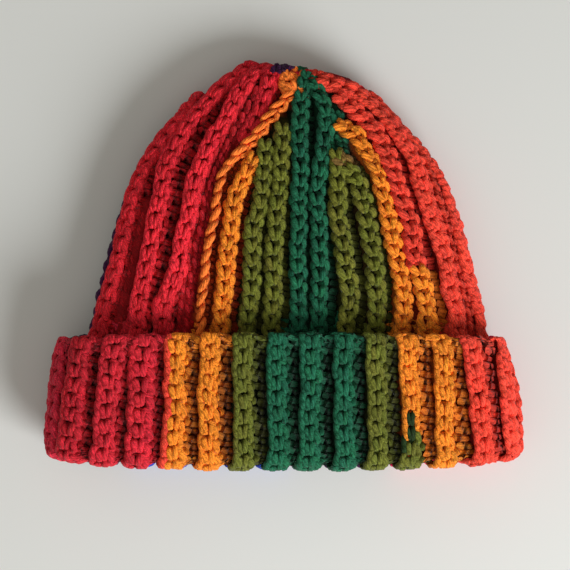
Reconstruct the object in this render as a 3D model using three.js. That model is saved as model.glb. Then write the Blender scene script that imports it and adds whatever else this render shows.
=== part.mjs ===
// Crochet beanie with a turned-up cuff, lying flat on its back, in millimetres.
// X runs across the hat, Y from its mouth to the top of the crown, and Z up from the surface it lies on.
// Every level of the hat is a flattened loop: a front and a back that round over into each other at the sides.

import * as THREE from 'three';
import { mergeVertices } from 'three/addons/utils/BufferGeometryUtils.js';

const ribDepth = 3.2;        // from the crest of a rib down to the groove beside it
const shoulderDrop = 0.9;    // from the crest down to the rib's shoulder
const shoulderShare = 0.6;   // where the shoulder stands between the crest and the groove
const reliefPerPitch = 0.24; // narrow ribs near the top are shallower, by this share of their spacing
const fabric = 4.8;          // thickness of the crochet itself
const layer = fabric + ribDepth;
const clearance = 0.3;
const insideSlack = 0.5;     // more room above the fold, where ribs of cuff and crown no longer match
const restingHeight = 0.05;  // what is this low lies on the surface, and is pressed flat

const crownEdgeY = -94;      // lower edge of the crown, inside the fold of the cuff
const foldBottomY = -100.5;  // lowest stitches of the front of the fold
const foldBackDrop = 1.6;    // the back of the fold shows this much below the front
const foldSideLift = 4;      // the fold rises towards the sides
const scallop = 2.4;         // the grooves end this much above the ribs, all round the fold

// Levels of the cuff's outside: the side edges, the heights of back and front, and how far each side rounds
const cuffLevels = [
  { y: -102, left: -119, right: 119, back: 0, front: 44, roundLeft: 34, roundRight: 26 },
  { y: -88, left: -119.7, right: 119.6, back: 0, front: 45.6, roundLeft: 34, roundRight: 26 },
  { y: -72, left: -118.6, right: 118.5, back: 0, front: 46, roundLeft: 36, roundRight: 26 },
  { y: -54, left: -116.4, right: 114.6, back: 0, front: 45.8, roundLeft: 38, roundRight: 27 },
  { y: -42, left: -114.8, right: 112.3, back: 0, front: 45.4, roundLeft: 40, roundRight: 28 },
  { y: -34, left: -112.6, right: 109.6, back: 0, front: 44.8, roundLeft: 40, roundRight: 28 },
];

// Levels of the crown's outside, above the cuff. Near the top a level tilts and bows upwards:
// tilt is how much its left edge stands above its right edge, bow is how much its middle rises.
const crownLevels = [
  { y: -33, left: -98, right: 101, back: 7.4, front: 37.2, roundLeft: 34, roundRight: 30, tilt: 0, bow: 0 },
  { y: -22, left: -95.5, right: 99.3, back: 3.4, front: 36.6, roundLeft: 36, roundRight: 32, tilt: 0, bow: 0 },
  { y: -8, left: -92.5, right: 96, back: 0, front: 36, roundLeft: 38, roundRight: 34, tilt: 0, bow: 0 },
  { y: 10, left: -87.7, right: 91, back: 0, front: 35, roundLeft: 40, roundRight: 36, tilt: 0, bow: 0 },
  { y: 28, left: -82.3, right: 86, back: 0, front: 34, roundLeft: 42, roundRight: 38, tilt: 0, bow: 0 },
  { y: 44, left: -76.5, right: 80, back: 0, front: 32.6, roundLeft: 42, roundRight: 40, tilt: 0, bow: 0 },
  { y: 57, left: -69.8, right: 72.6, back: 0, front: 31, roundLeft: 42, roundRight: 42, tilt: 0, bow: 0.4 },
  { y: 68, left: -62, right: 62.6, back: 0, front: 29, roundLeft: 40, roundRight: 40, tilt: 0, bow: 1 },
  { y: 77, left: -52.6, right: 53.6, back: 0, front: 26.8, roundLeft: 36, roundRight: 38, tilt: 0, bow: 2.2 },
  { y: 85, left: -43.6, right: 45.2, back: 1.4, front: 24.2, roundLeft: 30, roundRight: 34, tilt: 0.4, bow: 3.6 },
  { y: 91, left: -34.6, right: 38, back: 3.6, front: 21.4, roundLeft: 24, roundRight: 28, tilt: 1.4, bow: 4.4 },
  { y: 95, left: -26, right: 32, back: 6, front: 18.8, roundLeft: 18, roundRight: 20, tilt: 3, bow: 3 },
  { y: 98.4, left: -17, right: 22, back: 9, front: 16, roundLeft: 10, roundRight: 10, tilt: 7.4, bow: 0 },
];
const crownTop = new THREE.Vector3(5, 97.6, 12.6);

const crownInsideHeights = [crownEdgeY, -68, -46];   // rings of the crown inside the cuff

// Rings of the cuff, from the top of its inner face down, round the fold and up its outer face. In the fold,
// across runs from 0 outside to 1 at the hollow, and bulge from 0 at the crown's edge to 1 at the lowest line.
const cuffInnerHeights = [-37.5, -66];
const foldProfile = [
  { across: 1, bulge: 0 },
  { across: 0.9, bulge: 0.75 },
  { across: 0.5, bulge: 1 },
  { across: 0.12, bulge: 0.75 },
];
const cuffOuterHeights = [-88, -72, -54, -39];
const cuffEdgeProfile = [
  { y: -35.2, depth: 1.2 },
  { y: -34, depth: 2.9 },
];

// Levels of the hollow for the head, at the crests of the ribs inside it
const hollowLevels = [
  { y: -94, left: -101, right: 101, back: 16.3, front: 29, roundLeft: 14, roundRight: 12 },
  { y: -62, left: -99, right: 99, back: 16.3, front: 29.4, roundLeft: 16, roundRight: 13 },
  { y: -33, left: -89, right: 92, back: 15.4, front: 29, roundLeft: 20, roundRight: 18 },
  { y: -8, left: -84, right: 87.5, back: 8.2, front: 28, roundLeft: 28, roundRight: 26 },
  { y: 28, left: -74, right: 77.6, back: 8, front: 26, roundLeft: 32, roundRight: 30 },
  { y: 57, left: -60.6, right: 63.6, back: 8, front: 23, roundLeft: 34, roundRight: 34 },
  { y: 72, left: -45.6, right: 47.6, back: 8.4, front: 19.6, roundLeft: 28, roundRight: 30 },
  { y: 82, left: -28, right: 31, back: 9.8, front: 16.4, roundLeft: 18, roundRight: 20 },
];
const hollowTop = new THREE.Vector3(0, 89, 12.8);

// Crests of the crown's front ribs, from left to right: X at five heights. Ribs of the short-row
// wedges run close together where they end on the line of the wedge.
const ribHeights = { hem: -25, low: 2, middle: 30, high: 57, top: 78 };
const crownFrontRibs = [
  { name: 'red edge', hem: -92, low: -85, middle: -78, high: -67, top: -47 },
  { name: 'red second', hem: -75, low: -68, middle: -63, high: -56, top: -41 },
  { name: 'red third', hem: -60, low: -52, middle: -47, high: -39, top: -28 },
  { name: 'orange chain', hem: -42, low: -39, middle: -34, high: -22.5, top: -6 },
  { name: 'gold inner', hem: -31, low: -28.5, middle: -25, high: -17.5, top: -3.5 },
  { name: 'olive outer left', hem: -18.7, low: -16, middle: -12, high: -9, top: -1 },
  { name: 'olive inner left', hem: -6, low: -5, middle: -3, high: -0.5, top: 1.5 },
  { name: 'emerald left', hem: 7, low: 7, middle: 7, high: 8, top: 7 },
  { name: 'emerald right', hem: 18.5, low: 17.5, middle: 17, high: 18.5, top: 18 },
  { name: 'olive inner right', hem: 32, low: 30, middle: 27.5, high: 26, top: 24 },
  { name: 'olive outer right', hem: 47, low: 44, middle: 40, high: 33, top: 28 },
  { name: 'gold right', hem: 59, low: 56, middle: 51, high: 41, top: 32 },
  { name: 'orange first', hem: 72, low: 66.5, middle: 59.5, high: 53, top: 38 },
  { name: 'orange second', hem: 87, low: 81, middle: 72.5, high: 65, top: 46 },
  { name: 'orange edge', hem: 98, low: 91, middle: 83, high: 70.5, top: 52 },
];

// Crests of the cuff's front ribs, from left to right: X at its top edge and at its fold
const cuffFrontRibs = [
  { name: 'crimson side', edge: -109, fold: -115.5 },
  { name: 'red first', edge: -97, fold: -107 },
  { name: 'red second', edge: -84, fold: -89.5 },
  { name: 'red third', edge: -68, fold: -72 },
  { name: 'gold with orange', edge: -52, fold: -54 },
  { name: 'gold left', edge: -36, fold: -37 },
  { name: 'olive left', edge: -19.5, fold: -20 },
  { name: 'emerald first', edge: -3, fold: -3 },
  { name: 'emerald second', edge: 13, fold: 13 },
  { name: 'emerald third', edge: 29.5, fold: 30 },
  { name: 'olive right', edge: 45.5, fold: 46 },
  { name: 'gold first', edge: 61.5, fold: 62.5 },
  { name: 'gold second', edge: 77.5, fold: 80 },
  { name: 'orange first', edge: 92.5, fold: 97 },
  { name: 'orange side', edge: 104.5, fold: 113 },
];

const frontRibCount = crownFrontRibs.length;
const ribCount = frontRibCount * 2;
const columnsPerRib = 4;
const columnCount = ribCount * columnsPerRib;

function mix(a, b, share) {
  return a + (b - a) * share;
}

function clamp01(value) {
  return Math.min(1, Math.max(0, value));
}

// Every value of a table's rows at height y, in straight lines from row to row
function levelAt(rows, y) {
  let upper = rows.findIndex((row) => row.y >= y);
  if (upper < 0) upper = rows.length - 1;
  upper = Math.max(1, upper);
  const low = rows[upper - 1];
  const high = rows[upper];
  const share = clamp01((y - low.y) / (high.y - low.y));
  const level = {};
  for (const key of Object.keys(low)) level[key] = mix(low[key], high[key], share);
  return { ...level, y };
}

// Share of the front that one rounded side takes, measured along the loop
function sideShare(level) {
  const quarterLoop = Math.PI / 4 * ((level.roundLeft + level.roundRight + level.front - level.back) / 2);
  const flat = level.right - level.left - level.roundLeft - level.roundRight;
  return quarterLoop / (2 * quarterLoop + flat);
}

// A point of a level's loop and the direction out of the fabric there. The turn runs from 0 at the left
// side over the front to 1 at the right side, and on over the back to 2.
function loopPoint(level, turn, side) {
  const onFront = turn <= 1;
  const across = onFront ? turn : 2 - turn;
  const middle = (level.back + level.front) / 2;
  const halfHeight = (level.front - level.back) / 2;
  const up = onFront ? 1 : -1;
  const flatLeft = level.left + level.roundLeft;
  const flatRight = level.right - level.roundRight;
  if (across > side && across < 1 - side) {
    const share = (across - side) / (1 - 2 * side);
    return { x: mix(flatLeft, flatRight, share), z: middle + up * halfHeight, outX: 0, outZ: up };
  }
  const onLeft = across <= side;
  const angle = Math.PI / 2 * clamp01((onLeft ? side - across : across - 1 + side) / side);
  const round = onLeft ? level.roundLeft : level.roundRight;
  const away = onLeft ? -1 : 1;
  const length = Math.hypot(halfHeight * Math.sin(angle), round * Math.cos(angle));
  return {
    x: (onLeft ? flatLeft : flatRight) + away * round * Math.sin(angle),
    z: middle + up * halfHeight * Math.cos(angle),
    outX: away * halfHeight * Math.sin(angle) / length,
    outZ: up * round * Math.cos(angle) / length,
  };
}

// The turn of a front point with the given X
function turnAtX(level, x, side) {
  const flatLeft = level.left + level.roundLeft;
  const flatRight = level.right - level.roundRight;
  if (x < flatLeft) {
    const angle = Math.asin(clamp01((flatLeft - x) / level.roundLeft));
    return side * (1 - angle / (Math.PI / 2));
  }
  if (x > flatRight) {
    const angle = Math.asin(clamp01((x - flatRight) / level.roundRight));
    return 1 - side * (1 - angle / (Math.PI / 2));
  }
  return mix(side, 1 - side, (x - flatLeft) / (flatRight - flatLeft));
}

// The front ribs' turns, followed by the back ribs', which are spread evenly from side to side
function withBackRibs(frontTurns) {
  const turns = [...frontTurns];
  for (let rib = 0; rib < frontRibCount; rib += 1) turns.push(1 + (rib + 0.5) / frontRibCount);
  return turns;
}

function cuffRibTurns(y) {
  const level = levelAt(cuffLevels, y);
  const side = sideShare(level);
  const edgeY = cuffLevels[cuffLevels.length - 1].y;
  const share = clamp01((edgeY - y) / (edgeY - crownEdgeY));
  return withBackRibs(cuffFrontRibs.map((rib) => turnAtX(level, mix(rib.edge, rib.fold, share), side)));
}

// Turns halfway between neighbours: the grooves beside the ribs, one after each rib
function between(turns) {
  return turns.map((turn, rib) => (turn + (rib + 1 < ribCount ? turns[rib + 1] : turns[0] + 2)) / 2);
}

function ribXAt(rib, y) {
  const heights = Object.keys(ribHeights);
  let upper = heights.findIndex((height) => ribHeights[height] >= y);
  if (upper < 0) upper = heights.length - 1;
  upper = Math.max(1, upper);
  const low = heights[upper - 1];
  const high = heights[upper];
  return mix(rib[low], rib[high], clamp01((y - ribHeights[low]) / (ribHeights[high] - ribHeights[low])));
}

// Ribs of the crown. At the fold they stand behind the grooves of the cuff, because it is the same
// fabric turned over, and up to the cuff's edge they move over to their own lines.
function crownRibTurns(y) {
  const lineY = Math.min(Math.max(y, ribHeights.hem), ribHeights.top);
  const level = levelAt(crownLevels, lineY);
  const side = sideShare(level);
  const own = withBackRibs(crownFrontRibs.map((rib) => turnAtX(level, ribXAt(rib, lineY), side)));
  const cuffEdgeY = cuffLevels[cuffLevels.length - 1].y;
  const inside = between(cuffRibTurns(Math.min(y, cuffEdgeY)));
  const share = clamp01((y - crownEdgeY) / (cuffEdgeY - crownEdgeY));
  return inside.map((turn, rib) => mix(turn, own[rib], share));
}

// Four columns for each rib: crest, shoulder, groove and the next rib's shoulder, with the turn of each,
// the spacing of the ribs there and how far the column goes down from crest to groove
function ribColumns(turns) {
  const columns = [];
  turns.forEach((turn, rib) => {
    const next = rib + 1 < ribCount ? turns[rib + 1] : turns[0] + 2;
    const groove = (turn + next) / 2;
    columns.push({ turn, pitch: next - turn, down: 0 });
    columns.push({ turn: mix(turn, groove, shoulderShare), pitch: next - turn, down: shoulderDrop / ribDepth });
    columns.push({ turn: groove, pitch: next - turn, down: 1 });
    columns.push({ turn: mix(next, groove, shoulderShare), pitch: next - turn, down: shoulderDrop / ribDepth });
  });
  return columns;
}

function wrapTurn(turn) {
  return ((turn % 2) + 2) % 2;
}

// Height of a level at X, with its tilt and its bow
function levelY(level, x) {
  const share = clamp01((x - level.left) / (level.right - level.left));
  const tilt = level.tilt ?? 0;
  const bow = level.bow ?? 0;
  return level.y + tilt * (0.5 - share) + bow * Math.sin(Math.PI * share);
}

// A ring of the fabric's outer face. The depth is measured in from the crests.
function outerRing(level, columns, depth) {
  const side = sideShare(level);
  const loopLength = 2 * (level.right - level.left) + Math.PI * (level.front - level.back) / 2;
  return columns.map(({ turn, pitch, down }) => {
    const place = loopPoint(level, wrapTurn(turn), side);
    const relief = Math.min(ribDepth, reliefPerPitch * pitch / 2 * loopLength);
    const rests = place.z < restingHeight && depth === 0 && down < 1;
    const inward = depth + (rests ? 0 : relief * down);
    return new THREE.Vector3(
      place.x - place.outX * inward,
      levelY(level, place.x),
      place.z - place.outZ * inward,
    );
  });
}

// A ring of the hollow's face, whose ribs stand behind the grooves of the outer face
function hollowRing(hollow, outerLevel, columns) {
  const side = sideShare(outerLevel);
  return columns.map(({ turn, down }) => {
    const place = loopPoint(hollow, wrapTurn(turn), side);
    const outward = ribDepth * (1 - down);
    return new THREE.Vector3(place.x + place.outX * outward, hollow.y, place.z + place.outZ * outward);
  });
}

function pointRing(point) {
  return Array.from({ length: columnCount }, () => point.clone());
}

// One closed body from rings of equal length: a lathe's net, drawn over the rings
function bodyFromRings(name, rings, colour) {
  const profile = rings.map((ring, row) => new THREE.Vector2(1, row));
  const geometry = new THREE.LatheGeometry(profile, columnCount);
  const position = geometry.attributes.position;
  for (let column = 0; column <= columnCount; column += 1) {
    rings.forEach((ring, row) => {
      const point = ring[column % columnCount];
      position.setXYZ(column * rings.length + row, point.x, point.y, point.z);
    });
  }
  geometry.deleteAttribute('normal');
  geometry.deleteAttribute('uv');
  const mesh = new THREE.Mesh(
    mergeVertices(geometry, 1e-3),
    new THREE.MeshStandardMaterial({ color: colour, roughness: 0.8, metalness: 0 }),
  );
  mesh.name = name;
  return mesh;
}

function makeCrown() {
  const rings = [pointRing(hollowTop)];
  for (const hollow of [...hollowLevels].reverse()) {
    const outerLevel = levelAt(hollow.y < crownLevels[0].y ? cuffLevels : crownLevels, hollow.y);
    rings.push(hollowRing(hollow, outerLevel, ribColumns(crownRibTurns(hollow.y))));
  }
  for (const y of crownInsideHeights) {
    const slack = y > crownEdgeY ? insideSlack : 0;
    rings.push(outerRing(levelAt(cuffLevels, y), ribColumns(crownRibTurns(y)), layer + clearance + slack));
  }
  for (const level of crownLevels) {
    rings.push(outerRing(level, ribColumns(crownRibTurns(level.y)), 0));
  }
  rings.push(pointRing(crownTop));
  return bodyFromRings('crown', rings, 0xd0383a);
}

// Height of the fold's lowest line at a point of the loop
function foldY(place, down, level) {
  const halfWidth = (level.right - level.left) / 2;
  const sideLift = foldSideLift * Math.abs(place.x / halfWidth) ** 3;
  const backDrop = place.outZ < 0 ? foldBackDrop * -place.outZ : 0;
  return foldBottomY + sideLift - backDrop + scallop * down;
}

// A ring round the fold
function foldRing(columns, across, bulge) {
  const level = levelAt(cuffLevels, crownEdgeY);
  const side = sideShare(level);
  const hollow = hollowLevels[0];
  const rimY = crownEdgeY - clearance;
  return columns.map(({ turn, down }) => {
    const outer = loopPoint(level, wrapTurn(turn), side);
    const inner = loopPoint(hollow, wrapTurn(turn), side);
    const ribInset = ribDepth * down * (1 - 2 * across);
    const x = mix(outer.x, inner.x, across) - outer.outX * ribInset;
    const z = mix(outer.z, inner.z, across) - outer.outZ * ribInset;
    return new THREE.Vector3(x, mix(rimY, foldY(outer, down, level), bulge), z);
  });
}

// A ring of the cuff's inner face, which has its crests where the outer face has its grooves
function cuffInnerRing(y) {
  const level = levelAt(cuffLevels, y);
  const side = sideShare(level);
  return ribColumns(cuffRibTurns(y)).map(({ turn, down }) => {
    const place = loopPoint(level, wrapTurn(turn), side);
    const inward = fabric + ribDepth * down;
    return new THREE.Vector3(place.x - place.outX * inward, y, place.z - place.outZ * inward);
  });
}

function makeCuff() {
  const columnsAt = (y) => ribColumns(cuffRibTurns(y));
  const innerRings = [...cuffInnerHeights, crownEdgeY - clearance].map(cuffInnerRing);
  const foldRings = foldProfile.map(({ across, bulge }) => foldRing(columnsAt(crownEdgeY), across, bulge));
  const outerRings = cuffOuterHeights.map((y) => outerRing(levelAt(cuffLevels, y), columnsAt(y), 0));
  const edge = cuffLevels[cuffLevels.length - 1];
  const edgeRings = cuffEdgeProfile.map(({ y, depth }) => outerRing({ ...edge, y }, columnsAt(edge.y), depth));
  const rings = [...innerRings, ...foldRings, ...outerRings, ...edgeRings, innerRings[0]];
  return bodyFromRings('cuff', rings, 0x2f7d57);
}

const beanie = new THREE.Group();
beanie.add(makeCrown());
beanie.add(makeCuff());

export default beanie;
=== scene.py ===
import math

import bmesh
import bpy
import numpy as np
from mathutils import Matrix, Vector


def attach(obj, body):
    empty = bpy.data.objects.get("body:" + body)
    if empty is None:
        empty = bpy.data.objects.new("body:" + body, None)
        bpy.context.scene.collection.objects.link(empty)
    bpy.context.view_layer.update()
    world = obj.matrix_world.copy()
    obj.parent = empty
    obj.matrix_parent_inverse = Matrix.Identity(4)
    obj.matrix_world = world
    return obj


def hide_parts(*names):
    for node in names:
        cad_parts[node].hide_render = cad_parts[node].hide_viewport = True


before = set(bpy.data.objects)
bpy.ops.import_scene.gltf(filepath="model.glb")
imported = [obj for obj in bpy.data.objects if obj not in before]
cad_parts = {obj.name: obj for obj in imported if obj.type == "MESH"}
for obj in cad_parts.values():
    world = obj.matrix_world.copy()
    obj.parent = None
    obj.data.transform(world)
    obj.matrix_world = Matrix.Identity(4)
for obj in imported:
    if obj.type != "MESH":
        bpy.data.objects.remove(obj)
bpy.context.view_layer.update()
mm = 0.001
rng = np.random.default_rng(41)

# The hat lies flat on its back: x across it, y from its mouth to its top, z up. Its tables are in
# millimetres. A place on the hat is a level v, measured down the fabric, and a turn round it: 0 at the left
# side, over the front to 1 at the right side, and over the back to 2.


print("stage: floor, lights and camera")
studio = {
    "floorSize": 4.0, "floorColour": (0.82, 0.822, 0.785), "floorRoughness": 0.7,
    "keyPlace": (1.0, -1.12, 0.86), "keySize": 1.0, "keyPower": 32.0, "keyColour": (0.95, 0.975, 1.0),
    "fillPlace": (-0.5, -0.5, 1.3), "fillSize": 1.6, "fillPower": 1.9, "fillColour": (1.0, 0.98, 0.93),
    "lightAim": (0, 0, 0.02),
    "skyColour": (1.0, 0.975, 0.9), "skyStrength": 0.27,
    "cameraHeight": 1.0, "sensor": 36.0, "frameWidth": 0.285, "middleHeight": 0.025,
    "frameCentre": (0.75 * mm, -9.25 * mm),
}


def makeFloor():
    bm = bmesh.new()
    bmesh.ops.create_grid(bm, x_segments=2, y_segments=2, size=studio["floorSize"] / 2)
    mesh = bpy.data.meshes.new("floor")
    bm.to_mesh(mesh)
    bm.free()
    floor = bpy.data.objects.new("floor", mesh)
    bpy.context.collection.objects.link(floor)
    material = bpy.data.materials.new("paleTable")
    material.use_nodes = True
    shader = material.node_tree.nodes["Principled BSDF"]
    shader.inputs["Base Color"].default_value = (*studio["floorColour"], 1)
    shader.inputs["Roughness"].default_value = studio["floorRoughness"]
    mesh.materials.append(material)


def addAreaLight(name):
    light = bpy.data.lights.new(name, "AREA")
    light.shape = "DISK"
    light.size = studio[name + "Size"]
    light.energy = studio[name + "Power"]
    light.color = studio[name + "Colour"]
    lamp = bpy.data.objects.new(name, light)
    bpy.context.collection.objects.link(lamp)
    lamp.location = studio[name + "Place"]
    away = lamp.location - Vector(studio["lightAim"])
    lamp.rotation_euler = away.to_track_quat("Z", "Y").to_euler()


makeFloor()
addAreaLight("key")
addAreaLight("fill")

world = bpy.data.worlds.new("softSky")
world.use_nodes = True
sky = world.node_tree.nodes["Background"]
sky.inputs["Color"].default_value = (*studio["skyColour"], 1)
sky.inputs["Strength"].default_value = studio["skyStrength"]
bpy.context.scene.world = world
bpy.context.scene.view_settings.view_transform = "Standard"

cameraData = bpy.data.cameras.new("overhead")
cameraData.sensor_width = studio["sensor"]
cameraData.lens = studio["sensor"] * (studio["cameraHeight"] - studio["middleHeight"]) / studio["frameWidth"]
camera = bpy.data.objects.new("overhead", cameraData)
bpy.context.collection.objects.link(camera)
camera.location = (*studio["frameCentre"], studio["cameraHeight"])
bpy.context.scene.camera = camera


print("stage: form of the hat")
levelColumns = ("y", "left", "right", "back", "front", "roundLeft", "roundRight",
                "tilt", "bow", "lift", "drop")

crownForm = {
    # y, left and right edge, height of back and front, rounding of each side, then how much the left edge
    # stands above the right one and how much the middle rises; from the drawn-in top down to the cuff
    "rows": [
        (99.6, 3, 8, 11.6, 13.4, 2, 2, 0, 0),
        (100.6, -7, 17, 10.2, 15.2, 5, 5, 3.6, 0),
        (101, -19, 27, 9, 16.6, 10, 12, 6.4, 0),
        (97.8, -29, 37, 6, 19.2, 18, 20, 3, 3),
        (93.8, -37, 42, 3.6, 21.8, 24, 28, 1.4, 4.2),
        (87.8, -45.6, 47.6, 1.4, 24.4, 30, 34, 0.4, 3.6),
        (79.4, -54.6, 54.8, 0, 27, 36, 38, 0, 2.2),
        (70, -63.8, 63.4, 0, 29, 40, 40, 0, 1),
        (58, -71.4, 73.6, 0, 31, 42, 42, 0, 0.4),
        (44.4, -78, 82, 0, 32.6, 42, 40, 0, 0),
        (28, -83.8, 88.6, 0, 34, 42, 38, 0, 0),
        (10, -89.2, 93.6, 0, 35, 40, 36, 0, 0),
        (-8, -94, 98.4, 0, 35.8, 38, 34, 0, 0),
        (-22, -97, 101.6, 3.4, 35.4, 36, 32, 0, 0),
        (-33, -99.4, 103, 7.4, 34.4, 34, 30, 0, 0),
    ],
    "hiddenDepth": 10.8,                  # how far inside the cuff's face the crown's face lies
    "hiddenHeights": (-46, -62, -78),
    "topRow": 2,                          # rows above this one are the drawn-in end
    "foot": -25, "hiddenRun": 24,         # where the ribs' tables end, and how much farther the ribs run
}
cuffForm = {
    # y, left and right edge, height of back and front, rounding of each side, from the fold up
    "rows": [
        (-102, -119.6, 120, 0, 44, 34, 26),
        (-88, -120.6, 120.8, 0, 45.6, 34, 26),
        (-72, -119.8, 119.8, 0, 46, 36, 26),
        (-54, -117.8, 116.6, 0, 45.8, 38, 27),
        (-42, -116.2, 114, 0, 45.4, 40, 28),
        (-34, -114, 111.6, 0, 44.8, 40, 28),
    ],
    # the top edge rolls over: height and how far in from the cuff's face
    "topEdge": [(-37.4, 5.6), (-34.6, 4.9), (-32.4, 3.3), (-32, 1.9), (-33.2, 0.7), (-36.4, 0.1)],
    "face": (-42, -54, -72, -86, -92),
    # the fold: how far across from the outside to the hollow, and height
    "fold": [(0.01, -95.4), (0.08, -98.6), (0.26, -100.9), (0.5, -101.4), (0.74, -100.7), (0.92, -98.2),
             (0.99, -95)],
    "foldFrom": -94,
    "foldLift": 4.4, "foldDrop": 1.9,     # the fold rises at the sides, and its back hangs lower
    "liftFrom": -66, "liftSpan": 30,
    "cornerDrop": 2.8, "dropFrom": -54, "dropSpan": 18,    # the top edge is lower at the sides
    "ribTop": -34, "ribSpan": 60,         # the ribs lead from their place at the edge to that at the fold
    # the stitches' relief and spread, and the notches between ribs, at two stations measured from the rolled
    # edge and three from the fold
    "fromEdge": (0, 12), "fromFold": (-17, -7, 12),
    "relief": (0.42, 1.0, 1.0, 0.6, 0.62),
    "spread": (1.08, 1.0, 1.0, 1.3, 1.15),
    "notches": (-1.0, 0, 0, 1.6, 0),
}
hollowForm = {
    # the face inside, at the crests of its ribs, from the fold up
    "rows": [
        (-92, -101, 101, 16.3, 29, 14, 12),
        (-62, -99, 99, 16.3, 29.4, 16, 13),
        (-33, -89, 92, 15.4, 27.2, 20, 18),
        (-8, -84, 87.5, 8.2, 26, 28, 26),
        (28, -74, 77.6, 8, 24.4, 32, 30),
        (57, -60.6, 63.6, 8, 22.4, 34, 34),
    ],
    "underCuff": -33,                     # below this height the cuff is outside, above it the crown
    "ribsTo": 46, "wallTo": -76,          # how high the inside ribs and the wall behind them reach
}


def asLevels(rows):
    table = np.zeros((len(rows), len(levelColumns)))
    for place, row in enumerate(rows):
        table[place, :len(row)] = row
    return table


def levelAt(table, y):
    order = np.argsort(table[:, 0])
    return np.array([np.interp(y, table[order, 0], table[order, column]) for column in range(table.shape[1])])


def sideShare(level):
    left, right, back, front, roundLeft, roundRight = level[1:7]
    quarter = math.pi / 4 * (roundLeft + roundRight + front - back) / 2
    return quarter / (2 * quarter + right - left - roundLeft - roundRight)


def inset(level, depth):
    moved = level.copy()
    moved[1:5] += np.array([depth, -depth, depth, -depth])
    return moved


def curveThrough(stations, values, slopes, at):
    left = np.clip(np.searchsorted(stations, at) - 1, 0, len(stations) - 2)
    width = stations[left + 1] - stations[left]
    share = np.clip((at - stations[left]) / width, 0, 1)
    if values.ndim > 1:
        width, share = width[:, None], share[:, None]
    rest = 1 - share
    return (values[left] * (1 + 2 * share) * rest ** 2 + values[left + 1] * share ** 2 * (3 - 2 * share)
            + width * (slopes[left] * share * rest ** 2 - slopes[left + 1] * share ** 2 * rest))


def smoothColumn(stations, values, at):    # never swings past the values
    steps = np.diff(values) / np.diff(stations)
    slopes = np.zeros(len(values))
    same = steps[:-1] * steps[1:] > 0
    slopes[1:-1][same] = 2 * steps[:-1][same] * steps[1:][same] / (steps[:-1] + steps[1:])[same]
    slopes[0], slopes[-1] = steps[0], steps[-1]
    return curveThrough(stations, values, slopes, at)


def makeSkin(levels, shares):
    levels = np.array(levels)
    moves = np.diff(levels[:, [0, 2, 4]], axis=0) * (1, 0.5, 1)
    stations = np.concatenate([[0], np.cumsum(np.maximum(np.linalg.norm(moves, axis=1), 0.5))])
    dense = np.linspace(0, stations[-1], 3000)
    skin = {"v": dense, "side": smoothColumn(stations, np.array(shares), dense), "rowV": stations}
    for column, name in enumerate(levelColumns):
        skin[name] = smoothColumn(stations, levels[:, column], dense)
    return skin


def pointOn(skin, v, turn):
    at = {name: np.interp(v, skin["v"], skin[name]) for name in (*levelColumns, "side")}
    turn = np.mod(turn, 2)
    up = np.where(turn > 1, -1, 1)
    across = np.where(turn > 1, 2 - turn, turn)
    onLeft = across < at["side"]
    onRight = across > 1 - at["side"]
    beyond = np.where(onLeft, at["side"] - across, np.where(onRight, across - 1 + at["side"], 0))
    angle = math.pi / 2 * beyond / at["side"]
    flatLeft = at["left"] + at["roundLeft"]
    flatRight = at["right"] - at["roundRight"]
    share = np.clip((across - at["side"]) / (1 - 2 * at["side"]), 0, 1)
    sideways = np.where(onLeft, -at["roundLeft"], np.where(onRight, at["roundRight"], 0)) * np.sin(angle)
    x = flatLeft + (flatRight - flatLeft) * share + sideways
    z = (at["back"] + at["front"]) / 2 + up * np.cos(angle) * (at["front"] - at["back"]) / 2
    place = np.clip((x - at["left"]) / (at["right"] - at["left"]), 0, 1)
    y = (at["y"] + at["tilt"] * (0.5 - place) + at["bow"] * np.sin(math.pi * place)
         + at["lift"] * np.abs(2 * place - 1) ** 3 - at["drop"] * np.where(up < 0, np.cos(angle), 0))
    return np.stack([x, y, z], axis=-1)


def slopesOn(skin, v, turn, stepV=0.4, stepTurn=0.003):
    v = np.clip(v, skin["v"][0] + stepV, skin["v"][-1] - stepV)
    alongV = (pointOn(skin, v + stepV, turn) - pointOn(skin, v - stepV, turn)) / (2 * stepV)
    alongTurn = (pointOn(skin, v, turn + stepTurn) - pointOn(skin, v, turn - stepTurn)) / (2 * stepTurn)
    normal = np.cross(alongV, alongTurn)
    normal /= np.maximum(np.linalg.norm(normal, axis=-1, keepdims=True), 1e-9)
    return alongV, alongTurn, normal


def turnAtX(level, side, x):
    flatLeft = level[1] + level[5]
    flatRight = level[2] - level[6]
    if x < flatLeft:
        return side * (1 - math.asin(min(1, (flatLeft - x) / level[5])) * 2 / math.pi)
    if x > flatRight:
        return 1 - side * (1 - math.asin(min(1, (x - flatRight) / level[6])) * 2 / math.pi)
    return side + (1 - 2 * side) * (x - flatLeft) / (flatRight - flatLeft)


crownLevels = asLevels(crownForm["rows"])
cuffLevels = asLevels(cuffForm["rows"])
hollowLevels = asLevels(hollowForm["rows"])

crownRows = list(crownLevels)
crownShares = [sideShare(level) for level in crownRows]
for y in crownForm["hiddenHeights"]:
    level = levelAt(cuffLevels, y)
    crownRows.append(inset(level, crownForm["hiddenDepth"]))
    crownShares.append(sideShare(level))
crownSkin = makeSkin(crownRows, crownShares)

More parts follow.
